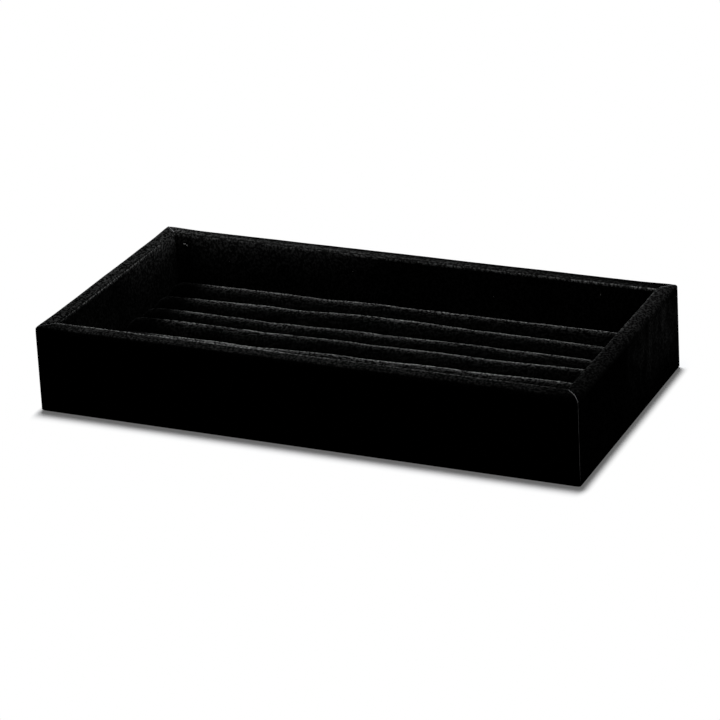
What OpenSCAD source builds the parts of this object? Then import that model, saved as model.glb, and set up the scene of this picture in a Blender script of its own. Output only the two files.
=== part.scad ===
// Shallow velvet-covered jewelry tray, with a lift-out pad of soft rolls.
// Millimetres. +X runs along the length, +Y towards the back and +Z up.
// The origin is the middle of the underside, on the surface that the tray stands on.

/* [Tray] */
// Length over the velvet, along X
tray_w = 375; // [250:1:450]
// Depth over the velvet, along Y
tray_d = 192; // [150:1:260]
// Height of the rim
tray_h = 60; // [50:1:80]
// Thickness of a rail with its velvet
rail_t = 11; // [9:0.5:16]
// Radius of the rim's outer edge, over the velvet
rim_r = 5; // [3:0.5:6]
// Radius of the rim's inner edge, over the velvet
rim_inner_r = 1.4; // [1.2:0.1:2]
// Radius of the velvet's turn under the foot
hem_r = 1.2; // [1.1:0.1:2]

/* [Sheets] */
// Thickness of the velvet with its pile
velvet_t = 1; // [0.6:0.1:1]
// Thickness of the felt under the tray
felt_t = 0.8; // [0.5:0.1:1.5]
// Distance of the felt's edge from the tray's outer faces
felt_margin = 3; // [2:0.5:8]
// Thickness of the base board
base_t = 3; // [2:0.5:5]
// Width of the rail's foot, outside the rebate that takes the base board
foot_w = 5; // [4:0.5:6]
// Thickness of the lining on the tray's floor
lining_t = 0.8; // [0.5:0.1:1.5]

/* [Pad] */
// Number of soft rolls, from back to front
roll_count = 8; // [7:1:9]
// Usual height of a roll's crest above the surface that the tray stands on
crest_z = 26.5; // [25:0.5:32]
// Gap between the pad and the tray's velvet, on each side
pad_gap = 0.5; // [0.4:0.1:1.5]
// Thickness of the card that carries the pad
card_t = 2; // [1:0.5:3]
// Thickness of the foam sheet that the rolls stand on
bed_t = 5.4; // [3:0.1:7]
// Gap between two rolls at their widest
slit = 0.3; // [0.2:0.1:0.6]
// Softness over the foam, at a roll's sides
side_pad = 2.2; // [2:0.1:2.6]
// Softness over the foam, at a roll's crest
crest_pad = 3.6; // [3.4:0.1:4.5]
// Length over which a roll's end rounds off
end_round = 9; // [7:0.5:12]
// How far a roll's crest drops at its ends
end_drop = 7; // [4:0.5:9]

/* [Corner wedges] */
// Length of a wedge's leg along the rail
wedge_leg = 6; // [4:0.5:8]
// Height of a wedge
wedge_h = 10; // [6:1:15]
// Thickness of the wedge's steel
wedge_t = 0.6; // [0.4:0.1:0.8]

/* [Hidden] */
$fn = 48;
SIDES = ["front", "back", "left", "right"];

// Heights, counted up from the table
hem_z = felt_t;
core_z = hem_z + velvet_t;
floor_z = hem_z + base_t;
lining_z = floor_z + lining_t;
card_z = lining_z + card_t;
bed_z = card_z + bed_t;

// Plan sizes of the well and of the pad in it
well_w = tray_w - 2 * rail_t;
well_d = tray_d - 2 * rail_t;
pad_w = well_w - 2 * pad_gap;
pad_d = well_d - 2 * pad_gap;
pitch = pad_d / roll_count;

// Foam strip inside a roll
foam_half = pitch / 2 - side_pad;
foam_top = crest_z - crest_pad;
foam_w = pad_w - 2 * (end_round - 1);
foam_seat = foam_top - foam_half;

// Soft roll: heights of its widest line and of the crease above its foot, and how far it draws in
widest_z = bed_z + 0.33 * (crest_z - bed_z);
crease_z = bed_z + 0.1 * (crest_z - bed_z);
foot_draw = 1.2;
crease_draw = 0.3;
end_draw = 2;
crown_steps = 10;
end_steps = 4;
mid_steps = 21;

// How much the crests rise (+) or sink (-) at five marks along each roll, from the left end to
// the right one, back roll first. A share of it lifts the crest and a share leans it to the back.
WAVES = [
    [0, 0.5, 2, 3, 1.5],
    [-5, -2, 3, 1, -1],
    [-6, -7, -3.5, -2, -2],
    [-2, -2, 0, 1, 3.5],
    [-7, -6, -2, 0, 2.5],
    [1, -1, -2, 1, 1],
    [0, 2, 1, -1, 0],
    [-1, 1, 2, 0, -1],
    [0, 1, -1, 1, 0]
];
mark_ends = 0.05;
rise_share = 0.38;
lean_share = 0.18;

// Small overcut that keeps cutting faces off the faces that they open
over = 1;

rail_nodes = [for (s = SIDES) str(s, "_rail")];
velvet_nodes = [for (s = SIDES) str(s, "_velvet")];
foam_nodes = [for (i = [1 : roll_count]) str("foam_strip_", i)];
roll_nodes = [for (i = [1 : roll_count]) str("velvet_roll_", i)];

// ---- Rails -------------------------------------------------------------------------------------

// Section of a rail, drawn in from its velvet's outer surface by inset.
// X runs inwards from the outer face and Y is the height.
module rail_section(inset) {
    outer_r = rim_r - inset;
    inner_r = rim_inner_r - inset;
    foot_r = hem_r - inset;
    low = hem_z + inset;
    high = tray_h - inset;
    inner_x = rail_t - inset;
    translate([inset, low + foot_r])
        square([inner_x - inset, high - low - foot_r - outer_r]);
    translate([inset + foot_r, low])
        square([inner_x - inset - foot_r, high - low - outer_r]);
    translate([inset + outer_r, low])
        square([inner_x - inset - outer_r, high - low - inner_r]);
    translate([inset + outer_r, low])
        square([inner_x - inset - outer_r - inner_r, high - low]);
    translate([inset + outer_r, high - outer_r])
        circle(outer_r);
    translate([inner_x - inner_r, high - inner_r])
        circle(inner_r);
    translate([inset + foot_r, low + foot_r])
        circle(foot_r);
}

// The corner that the base board takes out of a rail's section
module rebate_section() {
    translate([foot_w, hem_z - over])
        square([rail_t, base_t + over]);
}

module core_section() {
    difference() {
        rail_section(velvet_t);
        rebate_section();
    }
}

// The velvet goes round the rail in one sheet, from the floor over the rim to a hem under the foot
module velvet_section() {
    difference() {
        rail_section(0);
        rail_section(velvet_t);
        rebate_section();
    }
}

// Plan of one side of the mitred frame, with its outer face on Y = 0 and centred on X
module mitre_plan(long) {
    polygon([
        [-long / 2, 0],
        [long / 2, 0],
        [long / 2 - rail_t, rail_t],
        [-long / 2 + rail_t, rail_t]
    ]);
}

module mitred(long) {
    intersection() {
        translate([-long / 2, 0, 0])
            rotate([90, 0, 90])
                linear_extrude(long)
                    children();
        linear_extrude(tray_h + over)
            mitre_plan(long);
    }
}

// Puts a rail that is drawn along X, with its outer face on Y = 0, on its side of the frame
module on_side(side) {
    turn = side == "front" ? 0 : side == "right" ? 90 : side == "back" ? 180 : 270;
    out = side == "front" || side == "back" ? tray_d / 2 : tray_w / 2;
    rotate([0, 0, turn])
        translate([0, -out, 0])
            children();
}

function side_length(side) = side == "front" || side == "back" ? tray_w : tray_d;

module rail(side) {
    color("tan")
        difference() {
            on_side(side)
                mitred(side_length(side))
                    core_section();
            wedges();
        }
}

module velvet(side) {
    color([0.05, 0.05, 0.06])
        on_side(side)
            mitred(side_length(side))
                velvet_section();
}

// Bent steel wedges, driven up into the mitres from below
module wedges() {
    inset = (foot_w + velvet_t) / 2 - wedge_t / 2;
    for (mx = [0, 1])
        for (my = [0, 1])
            mirror([mx, 0, 0])
                mirror([0, my, 0])
                    translate([-tray_w / 2 + inset, -tray_d / 2 + inset, core_z])
                        linear_extrude(wedge_h)
                            wedge_plan();
}

module wedge_plan() {
    square([wedge_leg, wedge_t]);
    square([wedge_t, wedge_leg]);
}

module corner_wedges() {
    color("silver")
        wedges();
}

// ---- Floor -------------------------------------------------------------------------------------

// A flat sheet, centred on the tray
module sheet(w, d, z, t) {
    translate([-w / 2, -d / 2, z])
        cube([w, d, t]);
}

module base_board() {
    color("burlywood")
        sheet(tray_w - 2 * foot_w, tray_d - 2 * foot_w, hem_z, base_t);
}

module floor_lining() {
    color([0.07, 0.07, 0.08])
        sheet(well_w, well_d, floor_z, lining_t);
}

module under_felt() {
    color([0.09, 0.09, 0.1])
        sheet(tray_w - 2 * felt_margin, tray_d - 2 * felt_margin, 0, felt_t);
}

// ---- Pad ---------------------------------------------------------------------------------------

module pad_card() {
    color("dimgray")
        sheet(pad_w - 2 * velvet_t, pad_d - 2 * velvet_t, lining_z, card_t);
}

module foam_bed() {
    color("gray")
        sheet(pad_w - 2 * velvet_t, pad_d - 2 * velvet_t, card_z, bed_t);
}

// Velvet turned down round the pad's edge
module pad_skirt() {
    color([0.05, 0.05, 0.06])
        difference() {
            sheet(pad_w, pad_d, lining_z, card_t + bed_t);
            sheet(pad_w - 2 * velvet_t, pad_d - 2 * velvet_t, lining_z - over, card_t + bed_t + 2 * over);
        }
}

function roll_y(i) = pad_d / 2 - (i - 0.5) * pitch;

// Foam strip: flat foot, straight sides and a round crown
module foam_solid(i) {
    translate([-foam_w / 2, roll_y(i), 0])
        rotate([90, 0, 90])
            linear_extrude(foam_w) {
                translate([-foam_half, bed_z])
                    square([2 * foam_half, foam_seat - bed_z]);
                intersection() {
                    translate([0, foam_seat])
                        circle(foam_half);
                    translate([-foam_half, foam_seat])
                        square([2 * foam_half, foam_half]);
                }
            }
}

module foam_strip(i) {
    color("gray")
        foam_solid(i);
}

// Wave of roll i at the share u of its length, with soft turns at the marks
function wave(i, u) =
    let (row = WAVES[i - 1],
         at = min(max((u - mark_ends) / (1 - 2 * mark_ends), 0), 0.9999) * (len(row) - 1),
         k = floor(at),
         s = (1 - cos(180 * (at - k))) / 2)
    row[k] * (1 - s) + row[k + 1] * s;

// Straight seam behind roll i, at the rolls' feet, and how far the two crowns there push it aside
function seam_y(i) = pad_d / 2 - (i - 1) * pitch;
function lean(i, u) = lean_share * wave(i, u);
function push(i, u) = i == 1 || i > roll_count ? 0 : (lean(i - 1, u) + lean(i, u)) / 2;

// Round end: 1 at the very end of a roll, 0 from end_round inwards
function end_fall(u) =
    let (in = min(min(u, 1 - u) * pad_w / end_round, 1))
    1 - sqrt(1 - pow(1 - in, 2));

// Stations along a roll, as shares of its length: close together where the ends round off
end_shares = [for (k = [0 : end_steps]) end_round / pad_w * (1 - cos(90 * k / end_steps))];
roll_stations = concat(
    end_shares,
    [for (k = [1 : mid_steps - 1])
        let (a = end_shares[end_steps])
        a + (1 - 2 * a) * k / mid_steps],
    [for (k = [end_steps : -1 : 0]) 1 - end_shares[k]]
);

// One section of roll i: foot, crease and crown, from the front round to the back
function roll_section(i, u) =
    let (fall = end_fall(u),
         foot_back = seam_y(i) - slit / 2 - end_draw * fall,
         foot_front = seam_y(i + 1) + slit / 2 + end_draw * fall,
         back = foot_back + push(i, u),
         front = foot_front + push(i + 1, u),
         mid = (back + front) / 2,
         half = (back - front) / 2,
         crest = crest_z + rise_share * wave(i, u) - end_drop * fall,
         apex = roll_y(i) + lean(i, u) - mid,
         x = (u - 0.5) * pad_w)
    concat(
        [[x, foot_front + foot_draw, bed_z], [x, (foot_front + front) / 2 + crease_draw, crease_z]],
        [for (k = [0 : crown_steps])
            let (a = 180 * (1 - k / crown_steps))
            [x,
             mid + half * cos(a) + apex * pow(sin(a), 2),
             widest_z + (crest - widest_z) * sin(a)]],
        [[x, (foot_back + back) / 2 - crease_draw, crease_z], [x, foot_back - foot_draw, bed_z]]
    );

// Closed loft through sections that all have the same number of points
module loft(sections) {
    count = len(sections);
    n = len(sections[0]);
    last = (count - 1) * n;
    side_faces = [
        for (r = [0 : count - 2])
            for (k = [0 : n - 1])
                let (a = r * n + k, b = r * n + (k + 1) % n)
                each [[a, b, a + n], [b, b + n, a + n]]
    ];
    first_cap = [for (k = [1 : n - 2]) [0, k + 1, k]];
    last_cap = [for (k = [1 : n - 2]) [last, last + k, last + k + 1]];
    polyhedron([for (s = sections) each s], concat(side_faces, first_cap, last_cap));
}

// Velvet roll: a soft, uneven crown over the foam, drawn in at its foot and rounded at its ends
module velvet_roll(i) {
    color([0.05, 0.05, 0.06])
        difference() {
            loft([for (u = roll_stations) roll_section(i, u)]);
            foam_solid(i);
            translate([-foam_w / 2, roll_y(i) - foam_half, bed_z - over])
                cube([foam_w, 2 * foam_half, 2 * over]);
        }
}

// ---- Drawing -----------------------------------------------------------------------------------

for (i = [0 : 3])
    rail(SIDES[i]);
for (i = [0 : 3])
    velvet(SIDES[i]);
corner_wedges();
base_board();
floor_lining();
under_felt();
pad_card();
foam_bed();
pad_skirt();
for (i = [1 : roll_count])
    foam_strip(i);
for (i = [1 : roll_count])
    velvet_roll(i);
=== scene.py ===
"""Jewelry tray: mitred rails wrapped in black velvet, with a lift-out pad of soft velvet rolls.

Metres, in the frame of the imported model. +X runs along the tray's length, +Y to the back, +Z up.
"""

import math

import bmesh
import bpy
import numpy as np
from mathutils import Matrix, Vector


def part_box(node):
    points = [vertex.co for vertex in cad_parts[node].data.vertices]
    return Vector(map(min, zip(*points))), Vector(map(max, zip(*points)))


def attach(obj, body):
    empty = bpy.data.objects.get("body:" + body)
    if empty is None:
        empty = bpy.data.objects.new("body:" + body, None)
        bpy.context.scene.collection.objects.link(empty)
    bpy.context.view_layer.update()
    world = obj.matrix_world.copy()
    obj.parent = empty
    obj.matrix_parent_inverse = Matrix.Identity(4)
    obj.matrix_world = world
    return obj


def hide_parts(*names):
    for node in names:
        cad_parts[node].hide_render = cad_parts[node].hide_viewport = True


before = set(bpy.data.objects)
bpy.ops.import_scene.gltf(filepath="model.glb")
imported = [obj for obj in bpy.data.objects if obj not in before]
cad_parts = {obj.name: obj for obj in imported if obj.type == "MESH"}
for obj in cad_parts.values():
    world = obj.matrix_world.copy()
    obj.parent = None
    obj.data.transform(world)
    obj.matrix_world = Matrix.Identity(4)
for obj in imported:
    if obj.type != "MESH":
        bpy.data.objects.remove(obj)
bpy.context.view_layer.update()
scene = bpy.context.scene

MM = 0.001

# ---- Sizes that the frame gives

wrap_low, wrap_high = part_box("front_velvet")
board_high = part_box("base_board")[1]
pad_low, pad_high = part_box("pad_skirt")

tray_w = wrap_high.x - wrap_low.x
tray_d = -2 * wrap_low.y
tray_h = wrap_high.z
rail_t = wrap_high.y - wrap_low.y
hem_z = wrap_low.z
foot_w = wrap_high.x - board_high.x
floor_z = board_high.z
velvet_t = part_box("front_rail")[0].z - hem_z
pad_w = pad_high.x - pad_low.x
pad_d = pad_high.y - pad_low.y
bed_z = pad_high.z
roll_count = sum(name.startswith("velvet_roll_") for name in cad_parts)
pitch = pad_d / roll_count

# ---- Sizes of the velvet

# The roundings of the rim's outer and inner edges and of the hem
rim_r = 5 * MM
rim_inner_r = 1.4 * MM
hem_r = 1.2 * MM

# A roll's padding over its foam strip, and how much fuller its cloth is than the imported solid
padding = 3.6 * MM
fullness = 0.5 * MM
crest_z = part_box("foam_strip_1")[1].z + padding + fullness

# How high up a roll is widest, as a share of its height, the slit between the feet of two rolls,
# how hollow a roll's sides are, how far from its ends it starts to round off, and how much lower
# and, on each side, narrower it gets there
widest_share = 0.33
widest_z = bed_z + widest_share * (crest_z - bed_z)
slit = 0.3 * MM
side_tuck = 0.4 * MM
end_round = 9 * MM
end_drop = 7 * MM
end_draw = 2 * MM

# How much the crests rise (+) or sink (-), in millimetres, at five marks along each roll, from the
# left end to the right one, back roll first. A share of it lifts the crest, a share leans it back.
# The outer marks are mark_ends of the roll's length from its ends.
WAVES = [
    [0, 0.5, 3, 3.5, 3.5],
    [-5, -2, 3, 1, -1],
    [-6, -7, -3.5, -2, -2],
    [-2, -2, 0, 1, 3.5],
    [-7, -6, -2, 0, 2.5],
    [1, -1, -2, 1, 1],
    [0, 2, 1, -1, 0],
    [-1, 1, 2, 0, -1],
]
mark_ends = 0.05
rise_share = 0.38
lean_share = 0.18


# ---- Node trees

def arithmetic(operation, swapped=False):
    """A method that adds the Math node of one of Python's operators."""
    def method(self, value):
        return self.graph.math(operation, *((value, self) if swapped else (self, value)))
    return method


class Link:
    """A socket that takes part in Python expressions, each of which adds its Math node."""

    __add__, __radd__ = arithmetic("ADD"), arithmetic("ADD", True)
    __sub__, __rsub__ = arithmetic("SUBTRACT"), arithmetic("SUBTRACT", True)
    __mul__, __rmul__ = arithmetic("MULTIPLY"), arithmetic("MULTIPLY", True)
    __truediv__, __pow__ = arithmetic("DIVIDE"), arithmetic("POWER")

    def __init__(self, graph, socket):
        self.graph = graph
        self.socket = socket

    def other(self, name):
        """Another output of the same node."""
        return Link(self.graph, pick(self.socket.node.outputs, name))

    def math(self, operation, *values):
        return self.graph.math(operation, self, *values)

    def clamped(self):
        return self.graph.node("ShaderNodeClamp", {"Value": self})


def pick(sockets, key):
    """A socket by its number, or by its name among those that the node's settings leave in use."""
    if isinstance(key, int):
        return sockets[key]
    return next(s for s in sockets if s.enabled and s.name == key)


class Graph:
    """A node tree, of a material, a world or a Geometry Nodes modifier."""

    def __init__(self, tree):
        self.tree = tree

    def node(self, kind, inputs=None, output=0, **settings):
        """Adds a node with its settings and its inputs' values or links, and gives an output."""
        made = self.tree.nodes.new(kind)
        for name, value in settings.items():
            if name == "stops":
                set_stops(made.color_ramp, value)
            else:
                setattr(made, name, value)
        for key, value in (inputs or {}).items():
            socket = pick(made.inputs, key)
            if isinstance(value, Link):
                self.tree.links.new(value.socket, socket)
            else:
                socket.default_value = value
        return Link(self, pick(made.outputs, output)) if made.outputs else made

    def math(self, operation, *values):
        return self.node("ShaderNodeMath", dict(enumerate(values)), operation=operation)

    def mix(self, factor, a, b):
        """Blends two colours."""
        inputs = {"Factor": factor, "A": a, "B": b}
        return self.node("ShaderNodeMix", inputs, "Result", data_type="RGBA")

    def vector(self, operation, *values):
        output = "Value" if operation == "DISTANCE" else "Vector"
        inputs = dict(enumerate(values))
        return self.node("ShaderNodeVectorMath", inputs, output, operation=operation)

    def place(self):
        """Object coordinates, in metres."""
        return self.node("ShaderNodeTexCoord", output="Object")

    def attribute(self, name):
        """A number that the mesh carries, or 0 where it has none of that name."""
        return self.node("ShaderNodeAttribute", output="Fac", attribute_name=name)

    def noise(self, at, size, detail=2.0, roughness=0.5, stretch=(1, 1, 1)):
        """Noise from 0 to 1, whose lumps are about size across, times stretch."""
        shrunk = self.vector("DIVIDE", at, stretch)
        inputs = {"Vector": shrunk, "Scale": 1 / size, "Detail": detail, "Roughness": roughness}
        return self.node("ShaderNodeTexNoise", inputs)

    def between(self, value, low, high):
        """A soft step: 0 at low, 1 at high."""
        inputs = {"Value": value, "From Min": low, "From Max": high}
        return self.node("ShaderNodeMapRange", inputs, interpolation_type="SMOOTHSTEP")


def set_stops(ramp, stops):
    """Gives a ramp its stops, as pairs of a place and a colour."""
    while len(ramp.elements) < len(stops):
        ramp.elements.new(0.5)
    for element, (place, color) in zip(ramp.elements, stops):
        element.position = place
        element.color = (*color, 1)


# ---- Materials

def rgb(red, green, blue):
    return (red, green, blue, 1)


def emptied(made):
    """The emptied node tree of a new material or world."""
    made.use_nodes = True
    made.node_tree.nodes.clear()
    return Graph(made.node_tree)


def material(name, paint):
    """A material whose shader is set up by paint(graph, place), which gives the Principled sockets."""
    made = bpy.data.materials.new(name)
    graph = emptied(made)
    shader = graph.node("ShaderNodeBsdfPrincipled", paint(graph, graph.place()))
    graph.node("ShaderNodeOutputMaterial", {"Surface": shader})
    return made


def bump(graph, height, distance):
    inputs = {"Height": height, "Distance": distance, "Strength": 1.0}
    return graph.node("ShaderNodeBump", inputs)


def velvet(graph, place):
    """Black velvet, with painted sheen in its colour towards a grazing view, and painted light.

    The mesh carries how much painted light the pile has, how strong its patches of painted sheen are
    and how much its painted sheen is dimmed.
    """
    # How strong the painted sheen, sharp and soft, and its patches are, and the pile's own dark grain
    edge_glow, soft_glow, patch_glow, ground_glow = 0.205, 0.033, 0.12, 0.004
    nap = graph.noise(place, 34 * MM, 3, 0.55, (1, 1, 1.8))
    brushed = graph.noise(place, 9 * MM, 2, 0.6, (1, 1, 2.2))
    pile = graph.noise(place, 1.5 * MM, 1.5, 0.6, (1, 1, 1.2))
    lie = graph.between(nap * 0.7 + brushed * 0.3, 0.36, 0.64)
    grain = graph.between(pile, 0.42, 0.66)
    speck = graph.between(pile, 0.46, 0.6)
    sheen_kept = 1 - graph.attribute("taut")
    normal = bump(graph, pile * 0.2 + nap * 1.1 + brushed * 0.3, 0.55 * MM)
    facing = graph.node("ShaderNodeLayerWeight", {"Blend": 0.5, "Normal": normal}, "Facing")
    # Painted sheen: the colour lightens towards a grazing view, on the lumps of the pile, less where
    # dimmed
    glow = facing ** 6 * edge_glow + facing ** 3 * soft_glow
    painted_sheen = glow * (0.7 + 0.5 * lie) * (0.1 + 2.4 * speck) * sheen_kept
    # Painted light that the mesh carries, along the rims and down the inner walls
    painted_light = graph.attribute("light") * (0.2 + 1.6 * grain) * (0.75 + 0.45 * lie)
    # Patches of painted sheen, where the nap lies another way
    spread = graph.between(nap * 0.6 + brushed * 0.4, 0.34, 0.66)
    patches = graph.attribute("patchy") * spread * (0.4 + grain) * patch_glow
    # The pile's own dark grain, darker where the painted sheen is dimmed
    ground = grain * (0.5 + 0.5 * lie) * (0.1 + 0.9 * sheen_kept) * ground_glow
    tone = painted_sheen + painted_light + patches + ground
    return {
        "Base Color": graph.mix(tone, rgb(0.0002, 0.0002, 0.0002), rgb(0.965, 0.985, 0.98)),
        "Roughness": 0.86 + 0.12 * pile,
        "Specular IOR Level": 0.0,
        "Sheen Weight": 0.01,
        "Sheen Roughness": 0.3,
        "Sheen Tint": rgb(0.96, 0.98, 0.98),
        "Normal": normal,
    }


def velvet_paper(graph, place):
    """Flocked paper: a short even pile with faint roller bands."""
    flock = graph.noise(place, 0.5 * MM, 3, 0.6)
    bands = graph.noise(place, 14 * MM, 2, 0.5, (6, 1, 1))
    tone = (flock * 0.7 + bands * 0.3).clamped()
    return {
        "Base Color": graph.mix(tone, rgb(0.0012, 0.0012, 0.0014), rgb(0.006, 0.006, 0.0066)),
        "Roughness": 0.9 + 0.08 * flock,
        "Specular IOR Level": 0.02,
        "Sheen Weight": 0.08,
        "Sheen Roughness": 0.5,
        "Normal": bump(graph, flock, 0.18 * MM),
    }


def felt(graph, place):
    """Pressed felt: matted hairs in soft clumps."""
    clumps = graph.noise(place, 6 * MM, 3, 0.6)
    hairs = graph.noise(place, 0.45 * MM, 4, 0.7, (1, 3, 1))
    crossing = graph.noise(place, 0.45 * MM, 4, 0.7, (3, 1, 1))
    mat = hairs * 0.5 + crossing * 0.5
    tone = (mat * 0.75 + clumps * 0.25).clamped()
    return {
        "Base Color": graph.mix(tone, rgb(0.004, 0.004, 0.0045), rgb(0.02, 0.02, 0.022)),
        "Roughness": 0.88 + 0.1 * mat,
        "Specular IOR Level": 0.08,
        "Sheen Weight": 0.12,
        "Sheen Roughness": 0.6,
        "Normal": bump(graph, mat + clumps * 0.5, 0.4 * MM),
    }


def fibreboard(graph, place):
    """Medium-density board: tan, with short dark and pale fibres."""
    fibres = graph.noise(place, 0.8 * MM, 4, 0.7, (4, 1, 1))
    clouds = graph.noise(place, 18 * MM, 2)
    tone = (fibres * 0.7 + clouds * 0.3).clamped()
    ramp = [(0.3, (0.25, 0.16, 0.09)), (0.55, (0.42, 0.29, 0.17)), (0.75, (0.52, 0.39, 0.25))]
    return {
        "Base Color": graph.node("ShaderNodeValToRGB", {"Fac": tone}, stops=ramp),
        "Roughness": 0.7 + 0.2 * fibres,
        "Normal": bump(graph, fibres, 0.08 * MM),
    }


def card(graph, place):
    """Grey board of recycled pulp, with dark and pale flecks."""
    pulp = graph.noise(place, 1.5 * MM, 4, 0.65)
    flecks = graph.node("ShaderNodeTexVoronoi", {"Vector": place, "Scale": 1 / (3 * MM)})
    speck = graph.between(flecks, 0.16, 0.08)
    body = graph.mix(pulp, rgb(0.2, 0.19, 0.17), rgb(0.36, 0.34, 0.31))
    return {
        "Base Color": graph.mix(speck * 0.6, body, rgb(0.1, 0.09, 0.08)),
        "Roughness": 0.82 + 0.12 * pulp,
        "Normal": bump(graph, pulp, 0.06 * MM),
    }


def foam(graph, place):
    """Open-celled foam: a web of thin walls round dark cells."""
    inputs = {"Vector": place, "Scale": 1 / (0.9 * MM)}
    cells = graph.node("ShaderNodeTexVoronoi", inputs, feature="DISTANCE_TO_EDGE")
    walls = graph.between(cells, 0.16, 0.03)
    clouds = graph.noise(place, 12 * MM, 2)
    body = graph.mix(walls, rgb(0.05, 0.05, 0.055), rgb(0.27, 0.27, 0.28))
    return {
        "Base Color": graph.mix(clouds * 0.3, body, rgb(0.18, 0.17, 0.16)),
        "Roughness": 0.9 - 0.15 * walls,
        "Normal": bump(graph, walls, 0.3 * MM),
    }


def wedge_steel(graph, place):
    """Bright drawn steel strip, with fine lines along the strip and a few dull spots."""
    lines = graph.noise(place, 0.12 * MM, 2, 0.5, (1, 1, 40))
    spots = graph.between(graph.noise(place, 2.5 * MM, 3), 0.6, 0.75)
    return {
        "Base Color": graph.mix(spots, rgb(0.62, 0.61, 0.6), rgb(0.42, 0.38, 0.34)),
        "Metallic": 1.0,
        "Roughness": 0.28 + 0.25 * lines + 0.2 * spots,
        "Normal": bump(graph, lines, 0.01 * MM),
    }


def backing_cloth(graph, place):
    """Raw edge of the velvet's ground weave, greyed by the pile that clings to it."""
    threads = graph.noise(place, 0.35 * MM, 3, 0.7)
    soiled = graph.noise(place, 5 * MM, 2)
    tone = (threads * 0.6 + soiled * 0.4).clamped()
    return {
        "Base Color": graph.mix(tone, rgb(0.04, 0.042, 0.045), rgb(0.36, 0.37, 0.38)),
        "Roughness": 0.8 + 0.15 * threads,
        "Normal": bump(graph, threads, 0.1 * MM),
    }


def lint(graph, place):
    """Loose pale fibres that cling to the pile."""
    mottle = graph.noise(place, 0.8 * MM, 2)
    return {
        "Base Color": graph.mix(mottle, rgb(0.35, 0.35, 0.35), rgb(0.7, 0.7, 0.69)),
        "Roughness": 0.75 + 0.15 * mottle,
    }


MATERIALS = {paint.__name__: material(paint.__name__, paint) for paint in (
    velvet, velvet_paper, felt, fibreboard, card, foam, wedge_steel, backing_cloth, lint)}


# ---- Mesh helpers

def add_object(name, data):
    """A new object in the scene."""
    made = bpy.data.objects.new(name, data)
    scene.collection.objects.link(made)
    return made


def shell_object(shell, mesh, finish):
    """A smooth object whose mesh takes its shape from a bmesh, which it frees."""
    shell.to_mesh(mesh)
    shell.free()
    mesh.shade_smooth()
    mesh.materials.append(finish)
    return add_object(mesh.name, mesh)


def new_mesh_object(name, vertices, faces, finish):
    """A smooth mesh object with outward faces."""
    mesh = bpy.data.meshes.new(name)
    mesh.from_pydata([tuple(v) for v in vertices], [], faces)
    shell = bmesh.new()
    shell.from_mesh(mesh)
    bmesh.ops.recalc_face_normals(shell, faces=shell.faces)
    return shell_object(shell, mesh, MATERIALS[finish])


def band(low, high, n):
    """Faces between two loops of n vertices, whose first ones have the numbers low and high."""
    return [(low + k, low + (k + 1) % n, high + (k + 1) % n, high + k) for k in range(n)]


def thicken(piece, thickness):
    """Gives a sheet its thickness, on the back of what is drawn."""
    cloth = piece.modifiers.new("cloth", "SOLIDIFY")
    cloth.thickness = thickness
    cloth.offset = -1


def settle(piece):
    """Turns a piece and its modifiers into a plain mesh, under the same name."""
    name = piece.name
    bpy.context.view_layer.update()
    graph = bpy.context.evaluated_depsgraph_get()
    mesh = bpy.data.meshes.new_from_object(piece.evaluated_get(graph), depsgraph=graph)
    mesh.name = name
    bpy.data.objects.remove(piece)
    return add_object(name, mesh)


def section_curve(name, corners):
    """A poly curve in the YZ plane, whose corners are (inset, height, radius of its rounding)."""
    data = bpy.data.curves.new(name, "CURVE")
    data.dimensions = "3D"
    spline = data.splines.new("POLY")
    spline.points.add(len(corners) - 1)
    for point, (inset, height, radius) in zip(spline.points, corners):
        point.co = (0, inset, height, 1)
        point.radius = radius
    return add_object(name, data)


def add_tree(piece, tree, finish, values):
    """Puts a Geometry Nodes tree on a piece, with its finish and the values of its other inputs.

    A pair gives the inputs whose names end in Start and End.
    """
    modifier = piece.modifiers.new(tree.name, "NODES")
    modifier.node_group = tree
    given = {"Material": MATERIALS[finish]}
    for name, value in values.items():
        if isinstance(value, tuple):
            given[name + " Start"], given[name + " End"] = value
        else:
            given[name] = value
    for item in tree.interface.items_tree:
        if item.in_out == "INPUT" and item.name in given:
            modifier[item.identifier] = given[item.name]
    return piece


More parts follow.
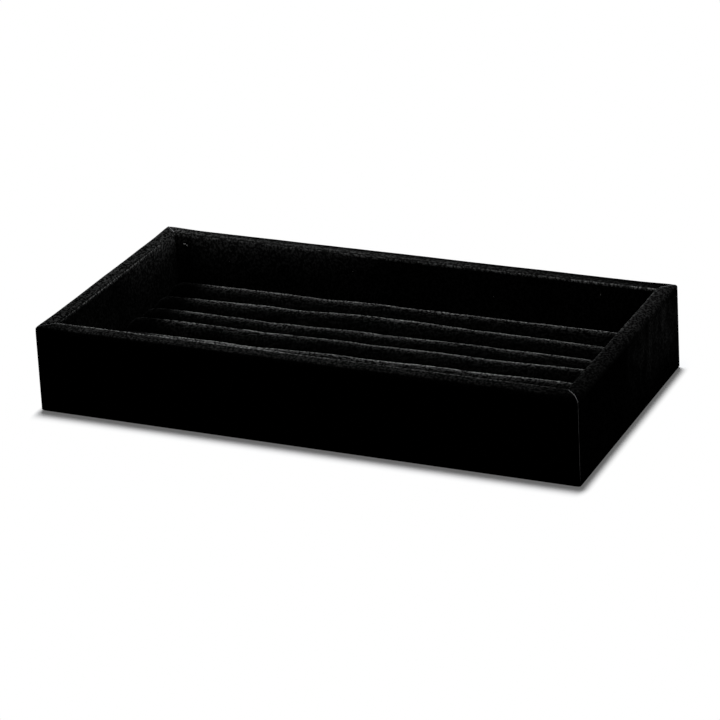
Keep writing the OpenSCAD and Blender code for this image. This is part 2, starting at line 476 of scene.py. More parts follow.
class GeometryTree(Graph):
    """A Geometry Nodes tree, with a geometry, a material and its named inputs, Float or Int."""

    def __init__(self, name, inputs):
        super().__init__(bpy.data.node_groups.new(name, "GeometryNodeTree"))
        new_socket = self.tree.interface.new_socket
        for label, kind in {"Geometry": "Geometry", **inputs, "Material": "Material"}.items():
            new_socket(label, in_out="INPUT", socket_type="NodeSocket" + kind)
        new_socket("Geometry", in_out="OUTPUT", socket_type="NodeSocketGeometry")
        self.start = self.tree.nodes.new("NodeGroupInput")

    def given(self, name):
        return Link(self, self.start.outputs[name])

    def position(self):
        return self.node("GeometryNodeInputPosition")

    def index(self):
        return self.node("GeometryNodeInputIndex")

    def combine(self, x, y, z):
        return self.node("ShaderNodeCombineXYZ", {"X": x, "Y": y, "Z": z})

    def split(self, vector):
        parts = self.node("ShaderNodeSeparateXYZ", {"Vector": vector})
        return parts, parts.other("Y"), parts.other("Z")

    def move(self, geometry, **inputs):
        """Moves points to a Position or by an Offset."""
        return self.node("GeometryNodeSetPosition", {"Geometry": geometry, **inputs})

    def store(self, geometry, name, value):
        """Keeps a number on the mesh's points, for the material to read."""
        inputs = {"Geometry": geometry, "Name": name, "Value": value}
        return self.node("GeometryNodeStoreNamedAttribute", inputs, data_type="FLOAT", domain="POINT")

    def random(self, limits, seed):
        inputs = {"Min": limits[0], "Max": limits[1], "Seed": seed}
        return self.node("FunctionNodeRandomValue", inputs, "Value", data_type="FLOAT")

    def lumps(self, size, detail):
        """Noise over the points' places, another one for each seed."""
        apart = self.combine(self.given("Seed"), 0.0, 0.0)
        return self.noise(self.vector("ADD", self.position(), apart), size, detail)

    def end(self, geometry):
        """Real geometry, smooth and with its material, goes out of the tree."""
        real = self.node("GeometryNodeRealizeInstances", {"Geometry": geometry})
        smooth = self.node("GeometryNodeSetShadeSmooth", {"Geometry": real})
        inputs = {"Geometry": smooth, "Material": self.given("Material")}
        done = self.node("GeometryNodeSetMaterial", inputs)
        self.node("NodeGroupOutput", {"Geometry": done})
        return self.tree


# ---- Velvet wrapped round the rails

# The mesh: the steps of a rounding, the gaps between its rows and columns, and the share of the
# columns' spacing that doesn't get narrower towards the mitres
arc_steps = 12
row_gap = 1.6 * MM
column_gap = 2.6 * MM
even_share = 0.15

# The cloth's unevenness, the size of its lumps, how far from the foot and from a mitre it fades
# in, and how deep and how wide a mitre draws the cloth in
unevenness = 0.5 * MM
lump_size = 42 * MM
foot_fade = 6 * MM
seam_fade = 8 * MM
seam_dip = 0.35 * MM
seam_width = 0.8 * MM

# The foot: how far it flares out, how high it ends over the floor, where the hem bends down to it,
# from the felt's edge outwards, and between which insets its fullness fades in
foot_flare = 0.35 * MM
foot_gap = 0.05 * MM
felt_margin = wrap_high.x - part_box("under_felt")[1].x
bend_start, bend_end = 0.4 * MM, 1.2 * MM
foot_fades = 4 * MM, 0.5 * MM

# The rim's outer edge: the middle of its rounding, in from both faces, how widely its fullness
# spreads, in rounding radii, how much narrower that is in a mitre's fold, and how far the fold runs
edge_middle = 0.3 * rim_r
edge_spread = 0.55
fold_narrower = 0.23
fold_run = 16 * MM

# The painted light on the rim: the width of its borders, the most that the top has, how much brighter
# its inner border is, the width of the line's dip as a share of the rail, and how far the painted
# shade by a mitre runs
border = 0.6 * MM
top_limit = 0.0175
crest_more, crest_width = 0.4, 0.8 * MM
line_dip_width = 0.12
mitre_fade = 14 * MM

# How deep the painted light goes on the inner wall, how much painted shade dims the painted sheen
# lower down there, and where that and the outer face's patches of painted sheen fade in and out,
# across the wrap
wall_light_depth = 7 * MM
wall_shade_share = 0.7
wall_shade_fades = -1 * MM, -4 * MM
patches_in = 11.5 * MM, 14.5 * MM
patches_out = 60 * MM, 24 * MM


def wrap_corners(sunk=0.0, turn_r=rim_r):
    """Section of the wrap: hem under the foot, outer face, rim, and down the inner face."""
    return [
        (foot_w, hem_z + sunk, 0),
        (felt_margin - bend_start, hem_z + sunk, 0),
        (felt_margin - bend_end, foot_gap + sunk, 0),
        (sunk - foot_flare, foot_gap + sunk, hem_r - sunk),
        (sunk, tray_h - sunk, turn_r - sunk),
        (rail_t - sunk, tray_h - sunk, rim_inner_r - sunk),
        (rail_t - sunk, floor_z, 0),
    ]


def rounded_section(tree):
    """The section curve with its corners rounded by the radius that each point carries."""
    radius = tree.node("GeometryNodeInputRadius")
    inputs = {"Curve": tree.given("Geometry"), "Count": arc_steps, "Radius": radius}
    return tree.node("GeometryNodeFilletCurve", inputs, mode="POLY")


def bell(value, width):
    """1 at 0, and almost 0 at twice the width to either side."""
    return (0 - (value / width) ** 2).math("EXPONENT")


def wrap_tree():
    """Sweeps a rounded section along a rail, mitred at both ends, uneven as stretched cloth is."""
    plain = ("Length", "Seed", "Edge Fullness", "Line Width", "Line Middle", "Line Dip",
             "Line Dip Place", "Top Reach", "Top Fade", "Wall Base", "Wall Fade")
    pairs = ("Corner", "Foot", "Line Place", "Line", "Top", "Wall", "Patchy Sheen", "Sheen Dimmed")
    tree = GeometryTree("wrapped_rail", {
        **{name: "Float" for name in plain},
        **{f"{name} {end}": "Float" for name in pairs for end in ("Start", "End")},
        "Columns": "Int",
    })
    given = tree.given
    run = tree.node("GeometryNodeSplineParameter", output="Length")
    inputs = {"Value": run, "Index": tree.index() + 1}
    next_run = tree.node("GeometryNodeFieldAtIndex", inputs, data_type="FLOAT")
    inputs = {"Curve": rounded_section(tree), "Cuts": (next_run - run) / row_gap}
    section = tree.node("GeometryNodeSubdivideCurve", inputs)
    inputs = {"Geometry": section}
    rows = tree.node("GeometryNodeAttributeDomainSize", inputs, "Point Count", component="CURVE")
    columns = given("Columns")
    grid = tree.node("GeometryNodeMeshGrid", {"Vertices X": columns, "Vertices Y": rows})

    row = tree.index().math("FLOORED_MODULO", rows)
    column = (tree.index() / rows).math("FLOOR")
    even = column / (columns - 1) * 2 - 1
    share = even * even_share + (even * (math.pi / 2)).math("SINE") * (0.5 - even_share)
    along = share + 0.5
    to_end = (0.5 - share.math("ABSOLUTE")) * given("Length")

    def graded(name, at=along):
        """A value that goes from the one at the rail's start to the one at its end."""
        start, end = given(name + " Start"), given(name + " End")
        return start + (end - start) * at

    # The rim's outer edge is fuller than its rounding, most of all where a mitre is folded tight
    inputs = {"Geometry": section, "Value": tree.position(), "Index": row}
    place = tree.node("GeometryNodeSampleIndex", inputs, data_type="FLOAT_VECTOR")
    _, inset, height = tree.split(place)
    folded = bell(to_end, fold_run)
    corner = graded("Corner", share.math("GREATER_THAN", 0.0))
    full = given("Edge Fullness") + (corner - given("Edge Fullness")) * folded
    edge = (0, edge_middle, tray_h - edge_middle)
    to_edge = tree.vector("DISTANCE", tree.combine(0.0, inset, height), edge)
    out = full * bell(to_edge, (edge_spread - fold_narrower * folded) * rim_r) * math.sqrt(0.5)
    # The foot stands out further than the rim, most of all at the mitres of the right face
    standing = (1 - height / tray_h).clamped() * tree.between(inset, *foot_fades)
    inset, height = inset - out - graded("Foot") * standing, height + out
    run_here = given("Length") - inset * 2
    swept = tree.move(grid, Position=tree.combine(share * run_here, inset, height))

    # Painted light: a painted highlight in a line along the rim's inner edge, painted light on the
    # rim's top and down the inner wall, and patches of painted sheen on the outer face. The number s
    # runs across
    # the wrap from the inner edge: over the rim and down the outer face, and below 0 down the wall.
    left_over = tree.node("GeometryNodeSplineLength", output="Length") - run
    inputs = {"Geometry": section, "Value": left_over, "Index": row}
    from_foot = tree.node("GeometryNodeSampleIndex", inputs, data_type="FLOAT")
    s = from_foot - (tray_h - floor_z - (1 - math.pi / 4) * rim_inner_r)
    midway = 4 * along * (1 - along) * given("Line Middle")
    kept = 1 - given("Line Dip") * bell(along - given("Line Dip Place"), line_dip_width)
    line = bell(s - graded("Line Place"), given("Line Width"))
    line = line * (graded("Line") + midway) * kept
    reach = given("Top Reach")
    top = tree.between(s, -border, border / 2) * tree.between(s, reach + border, reach - border)
    top = top * graded("Top").math("MINIMUM", top_limit)
    top = top * (1 + crest_more * bell(s - border, crest_width))
    # Painted shade: the painted light on the top and the wall fades by a mitre
    by_mitre = tree.between(to_end, rail_t + mitre_fade, rail_t)
    top = top * (1 - given("Top Fade") * by_mitre)
    # Painted light down the inner wall, brightest at its top
    deep = (s.math("MINIMUM", 0.0) / wall_light_depth).math("EXPONENT")
    wall_light = deep * graded("Wall").math("MAXIMUM", 0.0)
    wall_light = wall_light * (1 - given("Wall Fade") * by_mitre)
    wall = tree.between(s, -border, -border - 1 * MM) * (given("Wall Base") + wall_light)
    # Patches of painted sheen on the outer face, between the rim and the foot, as strong as given
    # along the rail
    patchy = tree.between(s, *patches_in) * tree.between(s, *patches_out)
    patchy = patchy * graded("Patchy Sheen").clamped()
    # Painted shade: the painted sheen is dimmed as given along the rail, and more so lower down the
    # inner wall
    flat = wall_shade_share * tree.between(s, *wall_shade_fades)
    sheen_kept = (1 - graded("Sheen Dimmed").clamped()) * (1 - flat)
    for name, value in {"light": line + top + wall, "patchy": patchy, "taut": 1 - sheen_kept}.items():
        swept = tree.store(swept, name, value)

    # Soft unevenness between the mitres and above the foot, and a dip where a mitre draws it in
    x, inset, height = tree.split(tree.position())
    to_mitre = given("Length") / 2 - inset - x.math("ABSOLUTE")
    free = tree.between(height, 0.0, foot_fade) * tree.between(to_mitre, 0.0, seam_fade)
    outside = tree.between(inset, rail_t - 1 * MM, rail_t - 2 * MM)
    dip = (0 - to_mitre / seam_width).math("EXPONENT") * seam_dip * outside
    rise = (tree.lumps(lump_size, 2) - 0.5) * unevenness * free - dip
    normal = tree.node("GeometryNodeInputNormal")
    shifted = tree.vector("MULTIPLY", normal, tree.combine(rise, rise, rise))
    return tree.end(tree.move(swept, Offset=shifted))


# How far each side is turned from the front one, its length, how far out its face stands, and the
# mitres at its start and end
SIDES = {
    "front": (0, tray_w, tray_d / 2, "front_left", "front_right"),
    "right": (90, tray_d, tray_w / 2, "front_right", "back_right"),
    "back": (180, tray_w, tray_d / 2, "back_right", "back_left"),
    "left": (270, tray_d, tray_w / 2, "back_left", "front_left"),
}

# Which way each mitre lies from the tray's middle, how thick its cut edge shows, how many threads
# stand out of it, how far the rim's edge is folded out over its rounding, and how full the foot is
MITRES = {
    "front_right": (1, -1, 0.19 * MM, 46, 0.0, 0.6 * MM),
    "front_left": (-1, -1, 0.12 * MM, 12, 1.3 * MM, 0.1 * MM),
    "back_left": (-1, 1, 0.336 * MM, 36, 1.4 * MM, 0.0),
    "back_right": (1, 1, 0.28 * MM, 8, 1.15 * MM, 0.55 * MM),
}

# How the cloth sits on each rail and the light and shade painted on it, 0 where nothing is said. A
# pair is for the rail's start and end as seen from outside. Line: how bright the painted highlight
# along the rim's inner edge is, its place across the wrap, its width, what it gains midway and the
# share that it
# loses at its dip. Top and Wall: how much painted light there is on the rim, out to Top Reach, and on
# the inner wall, and the share that it loses by a mitre, as painted shade. Patchy Sheen and Sheen
# Dimmed: how strong the outer face's patches of painted sheen are and how much the painted sheen is
# dimmed, cut off below 0 and above 1.
WRAPS = {
    "front": {
        "Line Place": (0.9 * MM, 0.4 * MM), "Line Width": 0.7 * MM, "Line": (0.07, 0.012),
        "Line Middle": 0.085, "Line Dip": 0.65, "Line Dip Place": 0.63, "Top Reach": 9.0 * MM,
        "Top Fade": 0.7, "Top": (0.0105, 0.003), "Wall Base": 0.01, "Sheen Dimmed": (0.92, 0.92),
    },
    "right": {
        "Edge Fullness": 0.1 * MM, "Line Place": (0.7 * MM, 0.7 * MM), "Line Width": 0.7 * MM,
        "Line": (0.003, 0.02), "Top Reach": 11.2 * MM, "Top": (0.001, 0.0088), "Wall Base": 0.01,
        "Patchy Sheen": (-1.7, 2.4), "Sheen Dimmed": (0.94, 0.84),
    },
    "back": {
        "Edge Fullness": 0.5 * MM, "Line Place": (-1.1 * MM, -1.4 * MM), "Line Width": 0.5 * MM,
        "Line": (0.34, 0.46), "Line Dip": -1.4, "Top Reach": 4.4 * MM, "Top": (0.003, 0.031),
        "Wall Base": 0.011, "Wall": (-0.5, 0.42), "Wall Fade": 0.7, "Sheen Dimmed": (3.3, 0.38),
    },
    "left": {
        "Edge Fullness": 0.85 * MM, "Line Place": (-0.85 * MM, -0.8 * MM), "Line Width": 0.45 * MM,
        "Line": (0.07, 0.03), "Line Middle": 0.12, "Top Reach": 3.4 * MM, "Top": (0.004, 0.001),
        "Wall Base": 0.01, "Wall": (0.33, -0.35), "Sheen Dimmed": (0.5, 0.64),
    },
}


def wrap_rails():
    """Each wrap is drawn along X, with its outer face on Y = 0, and then put on its side."""
    tree = wrap_tree()
    for seed, (side, (turn, length, out, start, end)) in enumerate(SIDES.items()):
        piece = add_tree(section_curve(f"{side}_wrap", wrap_corners()), tree, "velvet", {
            "Length": length, "Seed": float(seed), "Columns": round(length / column_gap),
            "Corner": (MITRES[start][4], MITRES[end][4]), "Foot": (MITRES[start][5], MITRES[end][5]),
            **WRAPS[side],
        })
        thicken(piece, velvet_t)
        piece = settle(piece)
        turned = Matrix.Rotation(math.radians(turn), 4, "Z")
        piece.data.transform(turned @ Matrix.Translation((0, -out, 0)))
        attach(piece, "tray")
        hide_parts(f"{side}_velvet")


# ---- Mitre seams

# The cut edge: the gap between its points, how much thinner it is by the foot, and between which
# heights it gets so
edge_step = 0.5 * MM
pressed_share = 0.65
pressed_fades = 10 * MM, 4 * MM

# The threads: their greatest length and thickness, what share of those they bend and taper by, and
# the limits of how they turn, tilt and differ in length
thread_length = 1.3 * MM
thread_t = 0.05 * MM
thread_bend = 0.35
thread_taper = 0.7
thread_turns = -1.1, 1.1
thread_tilts = 0.35, 1.5
thread_sizes = 0.3, 1.0


def at_mitre(tree, strand):
    """Moves a strand from the section's plane into its mitre. Sides are 1 or -1."""
    _, inset, height = tree.split(tree.position())
    out_x = tree.given("Side X") * (tray_w / 2 - inset)
    out_y = tree.given("Side Y") * (tray_d / 2 - inset)
    return tree.move(strand, Position=tree.combine(out_x, out_y, height))


def cut_edge_tree():
    """The cut edge of the cloth as an uneven strand that follows the section down a mitre."""
    inputs = {"Side X": "Float", "Side Y": "Float", "Thickness": "Float", "Seed": "Float"}
    tree = GeometryTree("cut_edge", inputs)
    inputs = {"Curve": rounded_section(tree), "Length": edge_step}
    strand = tree.node("GeometryNodeResampleCurve", inputs, mode="LENGTH")
    uneven = 0.35 + 0.7 * tree.lumps(2.2 * MM, 2) + 0.6 * tree.lumps(9 * MM, 1)
    _, _, height = tree.split(tree.position())
    pressed = pressed_share * tree.between(height, *pressed_fades)
    radius = tree.given("Thickness") / 2 * uneven * (1 - pressed)
    profile = tree.node("GeometryNodeCurvePrimitiveCircle", {"Resolution": 6, "Radius": 1.0})
    inputs = {
        "Curve": at_mitre(tree, strand), "Profile Curve": profile, "Scale": radius, "Fill Caps": True,
    }
    return tree.end(tree.node("GeometryNodeCurveToMesh", inputs))


def fray_tree():
    """Short threads that stand out of a mitre's cut edge."""
    inputs = {"Side X": "Float", "Side Y": "Float", "Count": "Int", "Seed": "Int"}
    tree = GeometryTree("frayed_threads", inputs)
    inputs = {"Curve": rounded_section(tree), "Count": tree.given("Count")}
    strand = tree.node("GeometryNodeResampleCurve", inputs, mode="COUNT")
    inputs = {"Curve": at_mitre(tree, strand)}
    points = tree.node("GeometryNodeCurveToPoints", inputs, mode="EVALUATED")
    rail = tree.node("GeometryNodeCurvePrimitiveLine", {"Start": (0, 0, 0), "End": (0, 0, 1)})
    bent = tree.node("GeometryNodeResampleCurve", {"Curve": rail, "Count": 4}, mode="COUNT")
    _, _, along = tree.split(tree.position())
    bent = tree.move(bent, Position=tree.combine(along ** 2 * thread_bend, 0.0, along))
    taper = thread_t / thread_length * (1 - thread_taper * along)
    profile = tree.node("GeometryNodeCurvePrimitiveCircle", {"Resolution": 3, "Radius": 0.5})
    inputs = {"Curve": bent, "Profile Curve": profile, "Scale": taper, "Fill Caps": True}
    thread = tree.node("GeometryNodeCurveToMesh", inputs)
    # A thread leans out of the corner, more or less up and to either side of it
    heading = tree.given("Side Y").math("ARCTAN2", tree.given("Side X"))
    turn = heading + tree.random(thread_turns, tree.given("Seed"))
    tilt = tree.random(thread_tilts, tree.given("Seed") + 1)
    size = thread_length * tree.random(thread_sizes, tree.given("Seed") + 2)
    return tree.end(tree.node("GeometryNodeInstanceOnPoints", {
        "Points": points, "Instance": thread, "Rotation": tree.combine(0.0, tilt, turn),
        "Scale": tree.combine(size, size, size),
    }))


def sew_mitres():
    """The cut edge and its threads follow the folded rim, a little inside the cloth's surface."""
    edge_tree, threads_tree = cut_edge_tree(), fray_tree()
    sunk = 0.2 * MM
    end_height = 3 * MM
    for seed, (corner, mitre) in enumerate(MITRES.items()):
        side_x, side_y, thickness, threads, full, foot_out = mitre
        sides = {"Side X": float(side_x), "Side Y": float(side_y)}
        turn_r = rim_r - full / (math.sqrt(2) - 1)
        flared = (foot_flare + foot_out) * (1 - end_height / tray_h)
        foot = (sunk - flared, end_height, 0)
        top = (rail_t - sunk, tray_h - end_height, 0)
        outline = [foot, *wrap_corners(sunk, turn_r)[4:6], top]
        edge = add_tree(section_curve(f"{corner}_cut_edge", outline), edge_tree, "backing_cloth", {
            **sides, "Thickness": thickness, "Seed": float(seed),
        })
        fray = add_tree(section_curve(f"{corner}_threads", outline), threads_tree, "lint", {
            **sides, "Count": threads, "Seed": 10 * seed,
        })
        for piece in (settle(edge), settle(fray)):
            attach(piece, "tray")


# ---- Lint

# Loose fibres on the back wall: x and height in millimetres, turn in degrees, length and how far
# they stand off the wall in millimetres
LINT = [
    (-168.9, 52.6, 8, 2.0, 0.95),
    (-167.4, 51.6, -50, 1.5, 0.9),
    (-135.2, 43.0, 70, 1.1, 0.3),
    (-41.0, 46.5, 20, 0.9, 0.3),
    (62.0, 40.0, -60, 1.0, 0.3),
    (138.0, 50.6, 85, 1.7, 0.4),
]
lint_t = 0.28 * MM


def drop_lint():
    """Each fibre is a bent six-sided thread with pointed ends, stuck to the pile."""
    steps, sides = 6, 6
    bow = 0.3
    wall_y = tray_d / 2 - rail_t
    vertices, faces = [], []
    for x, z, turn, length, off in LINT:
        start = len(vertices)
        way = np.array([math.cos(math.radians(turn)), 0, math.sin(math.radians(turn))])
        across = np.array([-way[2], 0, way[0]])
        for t in np.linspace(-1, 1, steps + 1):
            middle = np.array([x * MM, wall_y - off * MM, z * MM])
            middle = middle + (way * t + across * bow * t * t) * length * MM / 2
            radius = lint_t / 2 * (1.05 - t * t)
            for a in np.arange(sides) * 2 * math.pi / sides:
                spoke = across * math.cos(a) + np.array([0, math.sin(a), 0])
                vertices.append(middle + radius * spoke)
        for r in range(steps):
            faces += band(start + r * sides, start + (r + 1) * sides, sides)
        faces.append(tuple(range(start, start + sides)))
        faces.append(tuple(range(start + steps * sides, start + (steps + 1) * sides)))
    piece = new_mesh_object("wall_lint", vertices, faces, "lint")
    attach(piece, "tray")


# ---- Soft rolls

# The steps over a roll's crown, down each side, across its foot and round each of its ends, and the
# gap between the stations along the rest of it
crown_steps = 22
side_steps = 5
foot_steps = 6
end_steps = 7
station_gap = 2.5 * MM


def wave(i, u):
    """Wave of roll i at the shares u of its length, in metres, with soft turns at the marks."""
    row = np.array(WAVES[i - 1]) * MM
    at = np.clip((u - mark_ends) / (1 - 2 * mark_ends), 0, 0.9999) * (len(row) - 1)
    k = at.astype(int)
    s = (1 - np.cos(math.pi * (at - k))) / 2
    return row[k] * (1 - s) + row[k + 1] * s


def seam_y(i):
    """Where the seam behind roll i is, and at half steps a roll's middle."""
    return pad_d / 2 - (i - 1) * pitch


def lean(i, u):
    return lean_share * wave(i, u)


def push(i, u):
    """How far the two crowns at the seam behind roll i push it aside."""
    if i == 1 or i > roll_count:
        return 0 * u
    return (lean(i - 1, u) + lean(i, u)) / 2


def end_fall(u):
    """Round end: 1 at the very end of a roll, 0 from end_round inwards."""
    within = np.minimum(np.minimum(u, 1 - u) * pad_w / end_round, 1)
    return 1 - np.sqrt(1 - (1 - within) ** 2)


def roll_stations():
    """Shares of a roll's length, close together where its ends round off."""
    turn = end_round / pad_w
    end = turn * (1 - np.cos(np.linspace(0, math.pi / 2, end_steps + 1)))
    straight = np.linspace(turn, 1 - turn, round(pad_w / station_gap))
    return np.concatenate([end, straight[1:-1], (1 - end)[::-1]])


def roll_sections(i, u):
    """Sections of roll i at the stations u: an array of stations x points x (x, y, z)."""
    fall = end_fall(u)[:, None]
    u = u[:, None]
    foot_back = seam_y(i) - slit / 2 + 0 * u
    foot_front = seam_y(i + 1) + slit / 2 + 0 * u
    back = foot_back + push(i, u) - end_draw * fall
    front = foot_front + push(i + 1, u) + end_draw * fall
    middle = (back + front) / 2
    half = (back - front) / 2
    crest = crest_z + rise_share * wave(i, u) - end_drop * fall
    apex = seam_y(i + 0.5) + lean(i, u) - middle

    a = np.linspace(math.pi, 0, crown_steps + 1)[None, :]
    crown_y = middle + half * np.cos(a) + apex * np.sin(a) ** 2
    crown_z = widest_z + (crest - widest_z) * np.sin(a)

    t = np.linspace(0, 1, side_steps + 1)[None, 1:]
    tuck = side_tuck * np.sin(math.pi * t)
    back_y = back + (foot_back - back) * t - tuck
    front_y = front + (foot_front - front) * t + tuck
    side_z = widest_z + (bed_z - widest_z) * t + 0 * u

    b = np.linspace(0, 1, foot_steps + 1)[None, 1:-1]
    foot_y = foot_back + (foot_front - foot_back) * b
    foot_z = bed_z + 0 * foot_y

    y = np.concatenate([crown_y, back_y, foot_y, front_y[:, ::-1]], axis=1)
    z = np.concatenate([crown_z, side_z, foot_z, side_z[:, ::-1]], axis=1)
    x = (u - 0.5) * pad_w + 0 * y
    return np.stack([x, y, z], axis=2)


def closed_loft(sections):
    """Vertices and faces through sections, with each end closed by shrinking ones and a fan."""
    closing = (0.75, 0.45)
    first, last = sections[0], sections[-1]
    sections = list(sections)
    for share in closing:
        sections.insert(0, first.mean(0) + (first - first.mean(0)) * share)
        sections.append(last.mean(0) + (last - last.mean(0)) * share)
    n = len(first)
    vertices = list(np.concatenate(sections)) + [first.mean(0), last.mean(0)]
    faces = []
    for r in range(len(sections) - 1):
        faces += band(r * n, (r + 1) * n, n)
    top = (len(sections) - 1) * n
    for k in range(n):
        j = (k + 1) % n
        faces.append((j, k, len(vertices) - 2))
        faces.append((top + k, top + j, len(vertices) - 1))
    return vertices, faces


def of_vertices(mesh, what):
    """What each vertex has for its co (its place) or its normal."""
    flat = np.zeros(len(mesh.vertices) * 3, np.float32)
    mesh.vertices.foreach_get(what, flat)
    return flat.reshape(-1, 3).astype(float)


def set_places(mesh, points):
    mesh.vertices.foreach_set("co", points.astype(np.float32).ravel())
    mesh.update()


def carry(piece, name, values):
    """Keeps a number on each vertex, for the material to read."""
    layer = piece.data.attributes.new(name, "FLOAT", "POINT")
    layer.data.foreach_set("value", np.array(values, np.float32))


# How far the rolls are drawn in before they swell, from what height over the bed, and how much
# unevenness is kept at most. What is free to move less than pin_limit is pinned.
swell = 0.3 * MM
free_height = 2 * MM
swell_cap = 0.2 * MM
pin_limit = 0.02
cloth_frames = 20
CLOTH = {
    "quality": 6, "mass": 0.3, "tension_stiffness": 8, "compression_stiffness": 4,
    "shear_stiffness": 5, "bending_stiffness": 0.8, "use_pressure": True,
    "uniform_pressure_force": 6.0, "shrink_min": -0.01, "vertex_group_mass": "pins",
}


def deflate(piece):
    """Draws a roll in by swell, apart from its foot, and pins the foot to the bed."""
    points = of_vertices(piece.data, "co")
    free = np.clip((points[:, 2] - bed_z) / free_height, 0, 1)[:, None]
    set_places(piece.data, points - of_vertices(piece.data, "normal") * swell * free)
    pins = piece.vertex_groups.new(name="pins")
    pins.add([int(k) for k in np.nonzero(free[:, 0] < pin_limit)[0]], 1.0, "REPLACE")


def add_cloth(piece):
    settings = piece.modifiers.new("cloth", "CLOTH").settings
    for name, value in CLOTH.items():
        setattr(settings, name, value)
    settings.effector_weights.gravity = 0


def puff(pieces):
    """Swells the rolls as pinned cloth under air pressure, and keeps their drawn size on average.

    What is left of the swelling is the cloth's unevenness along the roll, which has a cap.
    """
    drawn = [of_vertices(piece.data, "co") for piece in pieces]
    for piece in pieces:
        deflate(piece)
        add_cloth(piece)
    for step in range(1, cloth_frames + 1):
        scene.frame_set(step)
    graph = bpy.context.evaluated_depsgraph_get()
    swollen = [of_vertices(piece.evaluated_get(graph).data, "co") for piece in pieces]
    scene.frame_set(1)
    around = crown_steps + 2 * side_steps + foot_steps
    for piece, start, end in zip(pieces, drawn, swollen):
        piece.modifiers.clear()
        piece.vertex_groups.clear()
        moved = (end - start)[:-2].reshape(-1, around, 3)
        uneven = (moved - moved.mean(0)).reshape(-1, 3)
        start[:-2] += swell_cap * np.tanh(uneven / swell_cap)
        set_places(piece.data, start)


# How much the painted sheen is dimmed along each roll, back roll first
ROLL_SHEEN_DIMMED = [0.05, 0.15, 0.35, 0.15, 0, 0, 0, 0]

# Painted shade at the left and the right end: the share of a roll's length from which the painted
# sheen starts to dim, over what share it does so, and how far it dims
SHADED_ENDS = [(0.125, 0.07, 0.96), (0.1, 0.08, 0.9)]


def dimmed_along_roll(u, pressed):
    """How dimmed the painted sheen is at shares u of a roll's length: pressed, and painted shade at
    the ends.
    """
    ends = [np.clip((start - away) / over, 0, most)
            for away, (start, over, most) in zip((u, 1 - u), SHADED_ENDS)]
    return np.maximum(np.maximum(*ends), pressed)


def make_rolls():
    pieces = []
    for i in range(1, roll_count + 1):
        vertices, faces = closed_loft(roll_sections(i, roll_stations()))
        piece = new_mesh_object(f"roll_{i}", vertices, faces, "velvet")
        u = of_vertices(piece.data, "co")[:, 0] / pad_w + 0.5
        # Painted shade at the roll's ends, where its painted sheen is dimmed
        carry(piece, "taut", dimmed_along_roll(u, ROLL_SHEEN_DIMMED[i - 1]))
        pieces.append(piece)
    puff(pieces)
    for i, piece in enumerate(pieces, 1):
        smooth = piece.modifiers.new("smooth", "SUBSURF")
        smooth.levels = smooth.render_levels = 1
        piece = settle(piece)
        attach(piece, "lift_out_pad")
        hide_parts(f"velvet_roll_{i}")


# ---- Flat sheets and the pad's skirt

def make_sheet(name, node, finish):
    """A thin sheet in the place of a flat node, with soft edges."""
    gap = 6 * MM
    bevel_share = 0.3
    low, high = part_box(node)
    wide, deep, thick = high - low
    shell = bmesh.new()
    columns, rows = round(wide / gap), round(deep / gap)
    bmesh.ops.create_grid(shell, x_segments=columns, y_segments=rows, size=0.5)
    bmesh.ops.scale(shell, vec=(wide, deep, 1), verts=shell.verts)
    bmesh.ops.translate(shell, vec=(0, 0, high.z), verts=shell.verts)
    piece = shell_object(shell, bpy.data.meshes.new(name), MATERIALS[finish])
    thicken(piece, thick)
    edge = piece.modifiers.new("edge", "BEVEL")
    edge.width = thick * bevel_share
    edge.segments = 2
    edge.limit_method = "ANGLE"
    piece = settle(piece)
    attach(piece, "tray")
    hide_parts(node)


def make_skirt():
    """Velvet turned down round the pad's edge and in under the rolls, in one band."""
    corner_r = 4 * MM
    corner_steps = 6
    run_gap = 4 * MM
    turn_in = 3 * MM
    pressed_t = 0.25 * MM
    bend_r = 0.8 * MM
    wall_steps, bend_steps = 3, 4
    # How much the painted sheen on the skirt is dimmed
    taut = 0.5
    foot = pad_low.z
    top = bed_z + pressed_t
    section = [(0, foot + (top - bend_r - foot) * k / wall_steps) for k in range(wall_steps)]
    section += [(bend_r * (1 - math.cos(a)), top - bend_r * (1 - math.sin(a)))
                for a in np.linspace(0, math.pi / 2, bend_steps + 1)]
    section += [(turn_in, top), (turn_in, bed_z), (velvet_t, bed_z), (velvet_t, foot)]

    half_x, half_y = pad_w / 2 - corner_r, pad_d / 2 - corner_r
    centres = [(half_x, -half_y), (half_x, half_y), (-half_x, half_y), (-half_x, -half_y)]
    outline = []
    for quarter, centre in enumerate(centres):
        for k in range(corner_steps + 1):
            a = math.radians(90 * (quarter - 1 + k / corner_steps))
            outline.append((*centre, math.cos(a), math.sin(a)))
    points = []
    for here, there in zip(outline, outline[1:] + outline[:1]):
        here, there = np.array(here), np.array(there)
        steps = max(1, round(np.linalg.norm(there[:2] - here[:2]) / run_gap))
        points += [here + (there - here) * k / steps for k in range(steps)]
    n = len(section)
    vertices = [(x + nx * (corner_r - inset), y + ny * (corner_r - inset), z)
                for x, y, nx, ny in points for inset, z in section]
    faces = []
    for r in range(len(points)):
        faces += band(r * n, (r + 1) % len(points) * n, n)
    piece = new_mesh_object("skirt", vertices, faces, "velvet")
    carry(piece, "taut", np.full(len(vertices), taut))
    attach(piece, "lift_out_pad")
    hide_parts("pad_skirt")


# ---- Carried-over nodes

# The finish of the nodes whose names hold these words
NODE_FINISHES = {
    "_rail": "fibreboard",
    "base_board": "fibreboard",
    "corner_wedges": "wedge_steel",
    "pad_card": "card",
    "foam_": "foam",
}


def finish_nodes():
    for name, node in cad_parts.items():
        for part, finish in NODE_FINISHES.items():
            if part in name:
                node.data.materials.clear()
                node.data.materials.append(MATERIALS[finish])


# ---- Studio

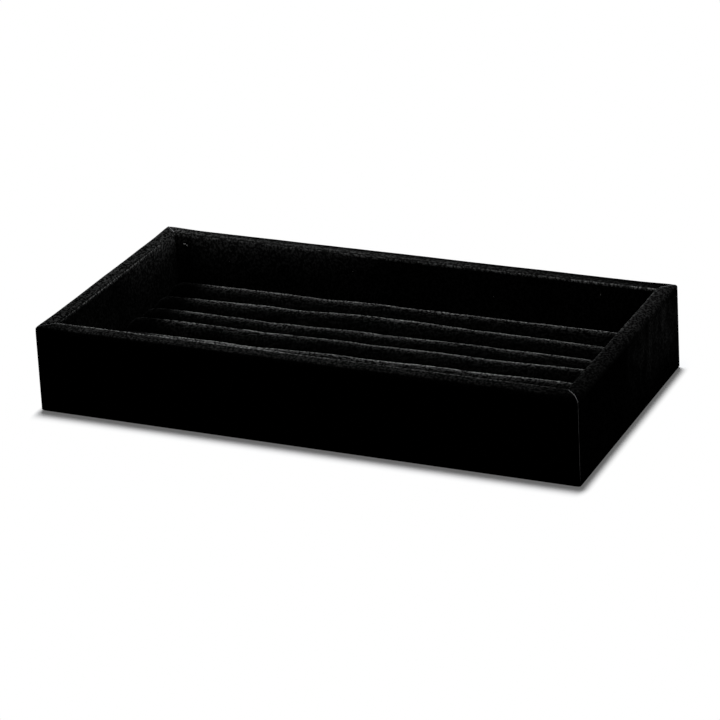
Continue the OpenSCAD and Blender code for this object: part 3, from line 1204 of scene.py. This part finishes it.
# The camera looks at the target from this far, at these angles in degrees
target = Vector((8.75, -19.37, 30)) * MM
camera_far = 2014.9 * MM
camera_azimuth = 24.69
camera_elevation = 23.25
camera_roll = -2.9
camera_lens = 154.74


def direction(azimuth, elevation):
    """The way from the object to a place seen at these angles. Azimuth 0 is in front of the tray."""
    a, e = math.radians(azimuth), math.radians(elevation)
    return Vector((math.sin(a) * math.cos(e), -math.cos(a) * math.cos(e), math.sin(e)))


def add_camera():
    data = bpy.data.cameras.new("camera")
    data.lens = camera_lens
    camera = add_object("camera", data)
    away = direction(camera_azimuth, camera_elevation)
    right = Vector((0, 0, 1)).cross(away).normalized()
    up = away.cross(right)
    level = Matrix((right, up, away)).transposed().to_4x4()
    roll = Matrix.Rotation(math.radians(camera_roll), 4, "Z")
    camera.matrix_world = Matrix.Translation(target + away * camera_far) @ level @ roll
    scene.camera = camera


# The softbox's direction in degrees, its distance in metres and the angle that it fills, and how
# bright the surroundings are on the object beside the white that the camera sees
key_azimuth = 207
key_elevation = 81.5
key_far = 2.0
key_angle = 15
fill_level = 0.05


def add_key_light():
    """A round softbox nearly overhead, a little to the back and the left."""
    data = bpy.data.lights.new("softbox", "AREA")
    data.shape = "DISK"
    data.size = 2 * key_far * math.tan(math.radians(key_angle / 2))
    # The power at which white paper that faces the softbox is rendered white
    data.energy = math.pi ** 2 * key_far ** 2
    light = add_object("softbox", data)
    way = direction(key_azimuth, key_elevation)
    light.location = way * key_far
    light.rotation_euler = way.to_track_quat("Z", "Y").to_euler()


def seen_directly(graph):
    """1 for camera, mirror and see-through rays, and 0 for the rays that light the object."""
    camera = graph.node("ShaderNodeLightPath", output="Is Camera Ray")
    seen = camera.math("MAXIMUM", camera.other("Is Glossy Ray"))
    return seen.math("MAXIMUM", camera.other("Is Transmission Ray"))


def add_world():
    world = bpy.data.worlds.new("studio")
    graph = emptied(world)
    strength = fill_level + (1 - fill_level) * seen_directly(graph)
    light = graph.node("ShaderNodeBackground", {"Color": rgb(1, 1, 1), "Strength": strength})
    graph.node("ShaderNodeOutputWorld", {"Surface": light})
    scene.world = world


def add_floor():
    """White floor: matt round the tray, where it takes the shadow, and plain white further out.

    The shadow fades from shadow_near to shadow_far from the tray, and over less than that at its ends.
    """
    floor_size = 8.0
    shadow_near = 4 * MM
    shadow_far = 18.5 * MM
    right_narrower = 2.0
    left_narrower = 4.0
    lift = 0.11
    finish = bpy.data.materials.new("studio_floor")
    graph = emptied(finish)
    parts = graph.node("ShaderNodeSeparateXYZ", {"Vector": graph.place()})
    outside_x = (parts - tray_w / 2).math("MAXIMUM", 0.0) * right_narrower
    outside_x = outside_x + (0 - parts - tray_w / 2).math("MAXIMUM", 0.0) * left_narrower
    outside_y = (parts.other("Y").math("ABSOLUTE") - tray_d / 2).math("MAXIMUM", 0.0)
    away = (outside_x * outside_x + outside_y * outside_y).math("SQRT")
    plain = (lift + (1 - lift) * graph.between(away, shadow_near, shadow_far)) * seen_directly(graph)
    tone = graph.mix(seen_directly(graph), rgb(0.05, 0.05, 0.05), rgb(0.965, 0.975, 0.99))
    matt = graph.node("ShaderNodeBsdfDiffuse", {"Color": tone})
    white = graph.node("ShaderNodeEmission", {"Color": rgb(1, 1, 1), "Strength": 1.0})
    surface = graph.node("ShaderNodeMixShader", {"Fac": plain, 1: matt, 2: white})
    graph.node("ShaderNodeOutputMaterial", {"Surface": surface})
    shell = bmesh.new()
    bmesh.ops.create_grid(shell, x_segments=1, y_segments=1, size=floor_size / 2)
    shell_object(shell, bpy.data.meshes.new("floor"), finish)


# ---- Making

add_camera()
add_key_light()
add_world()
add_floor()
wrap_rails()
sew_mitres()
drop_lint()
make_rolls()
make_skirt()
make_sheet("lining", "floor_lining", "velvet_paper")
make_sheet("felt_foot", "under_felt", "felt")
finish_nodes()
scene.view_settings.view_transform = "Standard"
